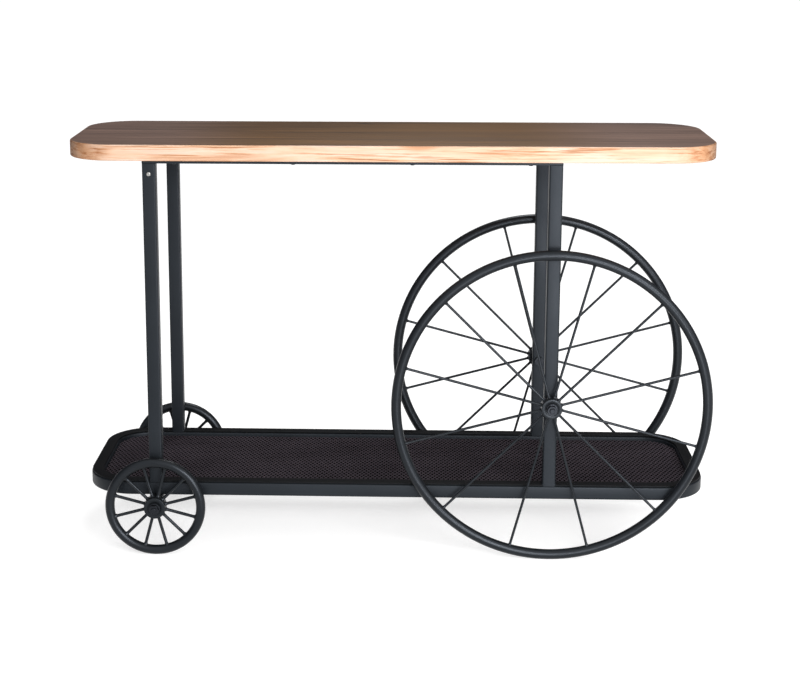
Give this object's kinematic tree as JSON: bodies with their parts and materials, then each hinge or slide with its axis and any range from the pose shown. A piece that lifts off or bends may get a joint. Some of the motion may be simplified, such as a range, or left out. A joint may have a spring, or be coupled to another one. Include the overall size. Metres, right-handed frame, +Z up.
{
  "type": "bar cart",
  "caption": "Long bar cart with a wooden top, a black tube frame, a mesh tray, large spoked wheels at one end and small spoked wheels at the other.",
  "frame": {"origin": "on the floor under the middle of the cart's bounding box", "axes": "+X along the cart towards the large wheels, +Y towards the back long side, +Z up"},
  "size_m": [1.21, 0.422, 0.79],
  "materials": {
    "wood": "oiled, satin",
    "powder_coat": "satin black powder coat",
    "wheel_coat": "satin black powder coat, slightly glossier",
    "mesh": "matt black coating",
    "axle_hardware": "blackened steel",
    "dark_screw": "blackened steel",
    "bright_screw": "bare zinc-plated steel"
  },
  "bodies": {
    "frame": {"table_top": "wood", "top_rail_front": "powder_coat", "top_rail_back": "powder_coat", "top_cross_left": "powder_coat", "top_cross_right": "powder_coat", "leg_front_left": "powder_coat", "leg_front_right": "powder_coat", "leg_back_left": "powder_coat", "leg_back_right": "powder_coat", "axle_stub_front": "powder_coat", "axle_stub_back": "powder_coat", "tray_rail_front": "powder_coat", "tray_rail_back": "powder_coat", "tray_end_left": "powder_coat", "tray_end_right": "powder_coat", "tray_lip_front": "powder_coat", "tray_lip_back": "powder_coat", "tray_lip_left": "powder_coat", "tray_lip_right": "powder_coat", "mesh_panel": "mesh", "top_screw_front_1": "dark_screw", "top_screw_front_2": "dark_screw", "top_screw_front_3": "dark_screw", "top_screw_front_4": "dark_screw", "top_screw_back_1": "dark_screw", "top_screw_back_2": "dark_screw", "top_screw_back_3": "dark_screw", "top_screw_back_4": "dark_screw", "leg_screw_front": "bright_screw", "leg_screw_back": "bright_screw", "big_wheel_front_axle_bolt": "axle_hardware", "big_wheel_front_washer_inner": "axle_hardware", "big_wheel_front_washer_outer": "axle_hardware", "big_wheel_front_axle_nut": "axle_hardware", "small_wheel_front_axle_bolt": "axle_hardware", "small_wheel_front_washer_inner": "axle_hardware", "small_wheel_front_washer_outer": "axle_hardware", "small_wheel_front_axle_nut": "axle_hardware", "big_wheel_back_axle_bolt": "axle_hardware", "big_wheel_back_washer_inner": "axle_hardware", "big_wheel_back_washer_outer": "axle_hardware", "big_wheel_back_axle_nut": "axle_hardware", "small_wheel_back_axle_bolt": "axle_hardware", "small_wheel_back_washer_inner": "axle_hardware", "small_wheel_back_washer_outer": "axle_hardware", "small_wheel_back_axle_nut": "axle_hardware"},
    "big_wheel_front": {"big_wheel_front_rim": "wheel_coat", "big_wheel_front_spokes_and_hub": "wheel_coat"},
    "small_wheel_front": {"small_wheel_front_rim": "wheel_coat", "small_wheel_front_spokes_and_hub": "wheel_coat"},
    "big_wheel_back": {"big_wheel_back_rim": "wheel_coat", "big_wheel_back_spokes_and_hub": "wheel_coat"},
    "small_wheel_back": {"small_wheel_back_rim": "wheel_coat", "small_wheel_back_spokes_and_hub": "wheel_coat"}
  },
  "joints": [
    {"name": "big_wheel_front_spin", "type": "hinge", "parent": "frame", "child": "big_wheel_front", "pos_m": [0.303, -0.1845, 0.3], "axis": [0, 1, 0], "continuous": true},
    {"name": "small_wheel_front_spin", "type": "hinge", "parent": "frame", "child": "small_wheel_front", "pos_m": [-0.446, -0.1845, 0.096], "axis": [0, 1, 0], "continuous": true},
    {"name": "big_wheel_back_spin", "type": "hinge", "parent": "frame", "child": "big_wheel_back", "pos_m": [0.303, 0.1845, 0.3], "axis": [0, 1, 0], "continuous": true},
    {"name": "small_wheel_back_spin", "type": "hinge", "parent": "frame", "child": "small_wheel_back", "pos_m": [-0.446, 0.1845, 0.096], "axis": [0, 1, 0], "continuous": true}
  ]
}
